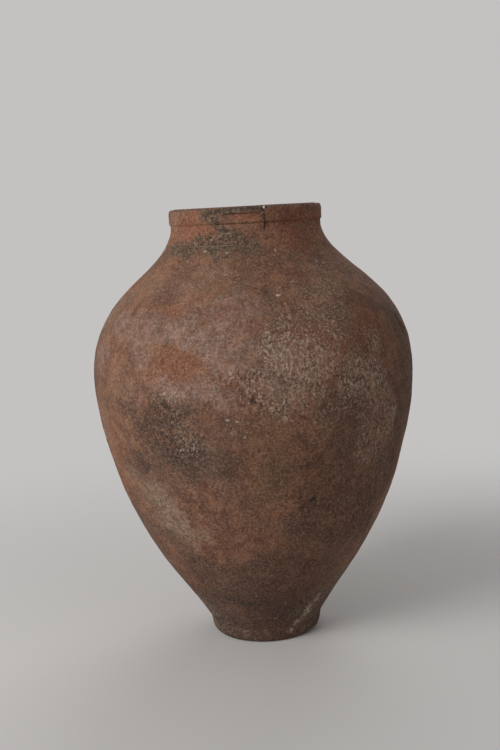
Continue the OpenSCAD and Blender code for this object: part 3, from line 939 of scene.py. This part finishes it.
class Nodes:
    """Short names for the nodes that the clay is made of. Vectors are in millimetres."""

    def __init__(self, name):
        self.material = bpy.data.materials.new(name)
        self.material.use_nodes = True
        self.tree = self.material.node_tree
        self.tree.nodes.clear()
        self.shader = self.tree.nodes.new("ShaderNodeBsdfPrincipled")
        output = self.tree.nodes.new("ShaderNodeOutputMaterial")
        self.link(self.shader.outputs[0], output.inputs["Surface"])
        place = self.tree.nodes.new("ShaderNodeTexCoord").outputs["Object"]
        self.place = self.vector("SCALE", place, scale=1 / MM)

    def link(self, a, b):
        self.tree.links.new(a, b)

    def put(self, socket, value):
        if isinstance(value, bpy.types.NodeSocket):
            self.link(value, socket)
        else:
            socket.default_value = value

    def math(self, operation, *values, clamp=False):
        node = self.tree.nodes.new("ShaderNodeMath")
        node.operation = operation
        node.use_clamp = clamp
        for socket, value in zip(node.inputs, values):
            self.put(socket, value)
        return node.outputs[0]

    def vector(self, operation, *values, scale=None):
        node = self.tree.nodes.new("ShaderNodeVectorMath")
        node.operation = operation
        for socket, value in zip(node.inputs, values):
            self.put(socket, value)
        if scale is not None:
            self.put(node.inputs["Scale"], scale)
        return node.outputs["Value" if operation in ("LENGTH", "DOT_PRODUCT") else "Vector"]

    def noise(self, size, detail=2.0, rough=0.5, place=None, shift=0.0, output="Fac"):
        node = self.tree.nodes.new("ShaderNodeTexNoise")
        place = place or self.place
        self.put(node.inputs["Vector"], self.vector("ADD", place, (shift, shift * 0.7, -shift)))
        node.inputs["Scale"].default_value = 1 / size
        node.inputs["Detail"].default_value = detail
        node.inputs["Roughness"].default_value = rough
        return node.outputs[output]

    def spots(self, size, place=None, shift=0.0, randomness=1.0):
        node = self.tree.nodes.new("ShaderNodeTexVoronoi")
        place = place or self.place
        self.put(node.inputs["Vector"], self.vector("ADD", place, (shift, -shift, shift * 0.6)))
        node.inputs["Scale"].default_value = 1 / size
        node.inputs["Randomness"].default_value = randomness
        return node.outputs["Distance"]

    def ramp(self, value, low, high):
        node = self.tree.nodes.new("ShaderNodeMapRange")
        node.interpolation_type = "SMOOTHSTEP"
        self.put(node.inputs["Value"], value)
        node.inputs["From Min"].default_value = low
        node.inputs["From Max"].default_value = high
        return node.outputs["Result"]

    def fall(self, value, low, high):
        """1 below low and 0 above high."""
        return self.math("SUBTRACT", 1.0, self.ramp(value, low, high))

    def mix(self, amount, a, b, blend="MIX"):
        node = self.tree.nodes.new("ShaderNodeMix")
        node.data_type = "RGBA"
        node.blend_type = blend
        self.put(node.inputs["Factor"], amount)
        for socket, value in ((node.inputs[6], a), (node.inputs[7], b)):
            self.put(socket, linear(value) if isinstance(value, tuple) else value)
        return node.outputs[2]

    def times(self, *values):
        total = values[0]
        for value in values[1:]:
            total = self.math("MULTIPLY", total, value)
        return total

    def most(self, *values):
        total = values[0]
        for value in values[1:]:
            total = self.math("MAXIMUM", total, value)
        return total

    def height(self):
        node = self.tree.nodes.new("ShaderNodeSeparateXYZ")
        self.link(self.place, node.inputs[0])
        return node.outputs["Z"]

    def zone(self, name):
        node = self.tree.nodes.new("ShaderNodeAttribute")
        node.attribute_name = name
        return node.outputs["Fac"]

    def warped(self, strength, size, shift=0.0):
        """The position, moved about by noise, so that no patch has a drawn edge."""
        wander = self.noise(size, 4, 0.6, shift=shift, output="Color")
        centred = self.vector("SUBTRACT", wander, (0.5, 0.5, 0.5))
        return self.vector("ADD", self.place, self.vector("SCALE", centred, scale=strength))

    def patch(self, az, z, width, height, place, core=0.35, tilt=0.0):
        """1 in the middle of an oval on the wall, and 0 past its edge."""
        middle, normal = on_wall(az, z)
        node = self.tree.nodes.new("ShaderNodeMapping")
        node.vector_type = "TEXTURE"
        self.link(place, node.inputs["Vector"])
        node.inputs["Location"].default_value = tuple(middle)
        node.inputs["Rotation"].default_value = (0, math.radians(tilt), math.radians(az))
        node.inputs["Scale"].default_value = (width / 2, max(width, 60.0), height / 2)
        return self.fall(self.vector("LENGTH", node.outputs[0]), core, 1.0)

    def finish(self, colour, rough, heights, distance=0.35):
        self.link(colour, self.shader.inputs["Base Color"])
        self.put(self.shader.inputs["Roughness"], rough)
        self.shader.inputs["Specular IOR Level"].default_value = 0.25
        bump = self.tree.nodes.new("ShaderNodeBump")
        bump.inputs["Distance"].default_value = distance * MM
        bump.inputs["Strength"].default_value = 1.0
        self.link(heights, bump.inputs["Height"])
        self.link(bump.outputs[0], self.shader.inputs["Normal"])
        return self.material


# Colours as the photograph shows them, by what they are
TERRACOTTA = (138, 97, 74)
RED_BROWN = (104, 69, 54)
DULL_CLAY = (103, 77, 63)
OCHRE = (120, 88, 62)
TAN = (148, 110, 86)
RED_CLAY = (134, 82, 60)
LIME = (190, 168, 148)
LAVENDER = (160, 137, 126)
# Near-black of soot, also used as painted shade in recesses and along the rim's top, and for dark grains.
SOOT_AND_SHADE_BLACK = (46, 40, 37)
# Brown of the crust, also used as painted shade on the right flank.
BROWN_CRUST_AND_SHADE = (66, 47, 38)
BEIGE = (152, 130, 108)
CRUMB_TAN = (146, 112, 86)
DARK_FOOT = (62, 45, 38)
MORTAR_SMEAR = (61, 52, 42)
MORTAR_GRAIN = (142, 126, 104)
WHITE = (205, 200, 194)
SMEAR_GREEN = (70, 64, 54)
ORANGE_FLECK = (150, 84, 48)

def base_layer(n, red):
    mottle = n.noise(17, 6, 0.72, shift=11)
    colour = n.mix(n.ramp(mottle, 0.40, 0.60), RED_BROWN, TERRACOTTA)
    colour = n.mix(n.times(n.ramp(n.noise(60, 4, 0.6, shift=23), 0.46, 0.60), 0.6), colour, DULL_CLAY)
    if red:
        colour = n.mix(red, colour, (150, 97, 74))
    colour = n.mix(n.times(n.zone("red"), 0.75), colour, RED_CLAY)
    colour = n.mix(n.times(n.zone("tan"), 0.6), colour, TAN)
    return n.mix(n.times(n.zone("ochre"), 0.65), colour, OCHRE)


def pale_layers(n, colour):
    film = n.ramp(n.noise(6, 6, 0.8, shift=31), 0.38, 0.58)
    colour = n.mix(n.times(n.zone("beige"), film, 0.85), colour, BEIGE)
    veil = n.ramp(n.noise(7, 6, 0.82, shift=61), 0.44, 0.58)
    lilac = n.zone("lilac")
    colour = n.mix(n.times(lilac, veil, 0.6), colour, LAVENDER)
    return n.mix(n.times(lilac, 0.16), colour, LAVENDER)


def dark_layers(n, colour, z):
    """Brown crust, partly painted shade on the right flank, dark low wall, and soot, partly painted shade in the
    pits, the lug scar, the crack and along the rim's top. Each is broken up by its own grain.
    """
    grain = n.ramp(n.noise(7, 6, 0.78, shift=141), 0.36, 0.58)
    solid = n.math("MULTIPLY_ADD", grain, 0.55, 0.45)
    # The crust zone is brown crust, and on the right flank partly painted shade of that side.
    crust = n.times(n.zone("crust"), solid)
    colour = n.mix(n.times(crust, 0.8), colour, BROWN_CRUST_AND_SHADE)
    crumbs = n.times(n.zone("crust"), n.ramp(n.noise(4, 6, 0.85, shift=147), 0.53, 0.60))
    colour = n.mix(n.times(crumbs, 0.6), colour, CRUMB_TAN)
    low = n.fall(n.math("ADD", z, n.times(n.noise(40, 4, 0.6, shift=151), -60)), 20, 115)
    colour = n.mix(n.times(low, 0.62), colour, DARK_FOOT)
    # The soot zone paints real soot and also painted shade in the pits, the lug scar, the crack and along the rim's
    # top.
    specks = n.ramp(n.noise(4.5, 6, 0.85, shift=181), 0.41, 0.55)
    soot_and_shade = n.times(n.zone("soot_and_shade"), n.math("MULTIPLY_ADD", specks, 0.85, 0.12))
    return n.mix(n.times(soot_and_shade, 0.95), colour, SOOT_AND_SHADE_BLACK), crust, soot_and_shade


def smear_layers(n, colour):
    """Mortar rubbed over the foot of the neck and up the break, dark with pale grains."""
    zone = n.zone("smear")
    rubbed = n.ramp(n.noise(6, 6, 0.78, shift=201), 0.34, 0.54)
    colour = n.mix(n.times(zone, rubbed, 0.9), colour, MORTAR_SMEAR)
    grains = n.ramp(n.noise(3.2, 4, 0.75, shift=211), 0.53, 0.60)
    colour = n.mix(n.times(zone, grains, 0.75), colour, MORTAR_GRAIN)
    shoulder = n.times(n.patch(71, 408, 22, 40, n.warped(8, 12, 17), tilt=8), 0.7)
    return n.mix(shoulder, colour, SMEAR_GREEN)


def lime_layer(n, colour):
    """Short pale strokes and grains of lime, thick on the front of shoulder and belly."""
    dense = n.math("MULTIPLY_ADD", n.zone("lime"), 0.9, 0.1)
    stretched = n.vector("MULTIPLY", n.warped(4, 8, 7), (1.0, 1.0, 0.62))
    strokes = n.noise(3.5, 5, 0.72, place=stretched, shift=221)
    level = n.math("MULTIPLY_ADD", dense, -0.145, 0.665)
    marks = n.ramp(n.math("SUBTRACT", strokes, level), 0.0, 0.035)
    worms = n.math("ABSOLUTE", n.math("SUBTRACT", n.noise(4.6, 3, 0.65, place=stretched, shift=231), 0.5))
    thin = n.times(n.fall(worms, 0.006, 0.022), n.ramp(n.noise(11, 3, 0.6, shift=236), 0.40, 0.54), dense)
    fine = n.noise(2.2, 3, 0.7, shift=241)
    tiny = n.ramp(n.math("SUBTRACT", fine, n.math("MULTIPLY_ADD", dense, -0.12, 0.66)), 0.0, 0.05)
    lime = n.most(n.times(marks, 0.7), n.times(thin, 0.9), n.times(tiny, 0.85))
    colour = n.mix(n.times(lime, 0.9), colour, LIME)
    foot = n.times(n.zone("foot_lime"), n.ramp(n.noise(5, 5, 0.7, shift=281), 0.42, 0.56))
    return n.mix(n.times(foot, 0.8), colour, LIME), lime


def fleck_layer(n, colour):
    """The few bright and dark marks that stand out singly."""
    tight = n.warped(2.0, 4, 37)
    flecks = ((12, 449, 7, 3), (-28, 500, 8, 3.2), (-13, 497.5, 5, 3), (18, 497, 3.5, 3.5), (42, 481, 3.5, 3), (47, 479, 5, 3),
              (-4, 297, 5, 2.5), (5, 329.5, 9, 2.2), (9, 335, 3, 9), (-9, 318, 7, 3), (-6, 316, 5, 3))
    for az, z, width, height in flecks:
        colour = n.mix(n.times(n.patch(az, z, width, height, tight, core=0.3), 0.8), colour, (186, 172, 158))
    scratch = n.patch(-11.5, 519.5, 20, 1.7, n.warped(1.2, 8, 47), core=0.3, tilt=-4)
    colour = n.mix(n.times(scratch, n.ramp(n.noise(3, 2, 0.6, shift=51), 0.38, 0.5), 0.8), colour, (176, 158, 144))
    colour = n.mix(n.times(n.patch(-50, 138, 7, 8, tight), 0.9), colour, ORANGE_FLECK)
    return colour


def wall_colour(n, red=0.0):
    """The weathered face that all the courses share, so that it runs over their joints."""
    colour = base_layer(n, red)
    colour = pale_layers(n, colour)
    colour, crust, soot_and_shade = dark_layers(n, colour, n.height())
    colour, lime = lime_layer(n, colour)
    colour = smear_layers(n, colour)
    colour = fleck_layer(n, colour)
    grain = n.noise(2.8, 5, 0.8, shift=301)
    colour = n.mix(n.times(n.fall(grain, 0.41, 0.49), 0.55), colour, SOOT_AND_SHADE_BLACK)
    colour = n.mix(n.times(n.ramp(grain, 0.54, 0.62), 0.26), colour, LIME)
    return colour, lime, soot_and_shade, crust, grain


def wall_material(name, red=0.0):
    n = Nodes(name)
    colour, lime, soot_and_shade, crust, grain = wall_colour(n, red)
    lumps = n.times(n.noise(7, 4, 0.65, shift=321), 1.6)
    heights = n.math("ADD", lumps, n.times(grain, 0.9))
    heights = n.math("ADD", heights, n.times(lime, 0.5))
    heights = n.math("ADD", heights, n.times(crust, 0.5))
    return n.finish(colour, n.ramp(grain, -1.6, 0.9), heights, 0.55)


def inner_material(name):
    n = Nodes(name)
    colour = n.mix(n.ramp(n.noise(50, 4, 0.6, shift=11), 0.4, 0.62), (104, 72, 57), (122, 84, 64))
    colour = n.mix(n.times(n.ramp(n.noise(24, 5, 0.7, shift=41), 0.5, 0.7), 0.6), colour, (74, 56, 47))
    colour = n.mix(n.times(n.ramp(n.noise(3.5, 3, 0.7, shift=61), 0.58, 0.68), 0.5), colour, LIME)
    heights = n.times(n.noise(6, 4, 0.7, shift=81), 2.0)
    return n.finish(colour, n.ramp(n.noise(9, 3, 0.6), -2.2, 1.2), heights)


def mortar_material():
    n = Nodes("mortar")
    colour = n.mix(n.ramp(n.noise(5, 4, 0.7), 0.35, 0.62), (84, 73, 62), (122, 108, 92))
    colour = n.mix(n.times(n.ramp(n.noise(2.2, 3, 0.7, shift=21), 0.6, 0.7), 0.7), colour, LIME)
    return n.finish(colour, n.ramp(n.noise(4, 3, 0.6), -2.2, 1.2), n.times(n.noise(1.6, 4, 0.7), 2.2))


def lime_material():
    n = Nodes("lime")
    colour = n.mix(n.ramp(n.noise(1.6, 3, 0.7), 0.35, 0.6), (158, 152, 146), WHITE)
    return n.finish(colour, n.ramp(n.noise(2, 3, 0.6), -2.2, 1.2), n.times(n.noise(0.8, 3, 0.7), 1.5))


# The room: a pale floor and soft lights. The floor fades from one radius to the other, in metres
FLOOR_FADE = (0.35, 1.1)

def make_floor():
    """A pale floor that fades into the backdrop past the jar's shadow, with no horizon."""
    size = FLOOR_FADE[1]
    mesh = bpy.data.meshes.new("floor")
    mesh.from_pydata([(-size, -size, 0), (size, -size, 0), (size, size, 0), (-size, size, 0)], [], [(0, 1, 2, 3)])
    floor = bpy.data.objects.new("floor", mesh)
    bpy.context.collection.objects.link(floor)
    n = Nodes("floor")
    n.shader.inputs["Base Color"].default_value = linear((206, 204, 202))
    n.shader.inputs["Roughness"].default_value = 0.9
    faded = n.fall(n.vector("LENGTH", n.place), FLOOR_FADE[0] / MM, FLOOR_FADE[1] / MM)
    n.link(faded, n.shader.inputs["Alpha"])
    mesh.materials.append(n.material)


def make_light(name, place, aim, size, watts):
    lamp = bpy.data.lights.new(name, "AREA")
    lamp.shape = "SQUARE"
    lamp.size = size
    lamp.energy = watts
    light = bpy.data.objects.new(name, lamp)
    light.location = place
    light.rotation_euler = (Vector(aim) - Vector(place)).to_track_quat("-Z", "Y").to_euler()
    bpy.context.collection.objects.link(light)


def make_room():
    make_floor()
    make_light("key", (-2.1, -1.6, 1.5), (0, 0, 0.3), 1.6, 68)
    make_light("fill", (2.0, -1.6, 1.0), (0, 0, 0.3), 1.8, 6)
    make_light("back", (0.6, 2.2, 1.8), (0, 0, 0.35), 1.8, 26)
    world = bpy.data.worlds.new("room")
    world.use_nodes = True
    tree = world.node_tree
    background = tree.nodes["Background"]
    path = tree.nodes.new("ShaderNodeLightPath")
    seen = tree.nodes.new("ShaderNodeMath")
    seen.operation = "MAXIMUM"
    tree.links.new(path.outputs["Is Camera Ray"], seen.inputs[0])
    tree.links.new(path.outputs["Is Glossy Ray"], seen.inputs[1])
    strength = tree.nodes.new("ShaderNodeMapRange")
    tree.links.new(seen.outputs[0], strength.inputs["Value"])
    strength.inputs["To Min"].default_value = 0.42
    strength.inputs["To Max"].default_value = 1.0
    tree.links.new(strength.outputs[0], background.inputs["Strength"])
    background.inputs["Color"].default_value = linear((196, 194, 193))
    bpy.context.scene.world = world
    bpy.context.scene.view_settings.view_transform = "Standard"


def make_jar():
    clay = wall_material("weathered terracotta")
    red_clay = wall_material("cleaner red terracotta", 0.45)
    inner = inner_material("inner clay")
    make_base(clay)
    names = ("lower_wall", "waist_wall", "belly_wall", "shoulder_wall", "crown_wall")
    for name, a, b in zip(names, JOINTS, JOINTS[1:]):
        make_course(name, a, b, clay)
    lutes = ("lower_lute", "waist_lute", "belly_lute", "shoulder_lute", "crown_lute")
    for name, a, b, c in zip(lutes, JOINTS, JOINTS[1:], JOINTS[2:]):
        make_lute(name, a, b, c, inner)
    make_foot_lute(inner)
    make_neck(clay, red_clay, mortar_material())
    make_plug(lime_material())


make_camera()
make_jar()
make_room()
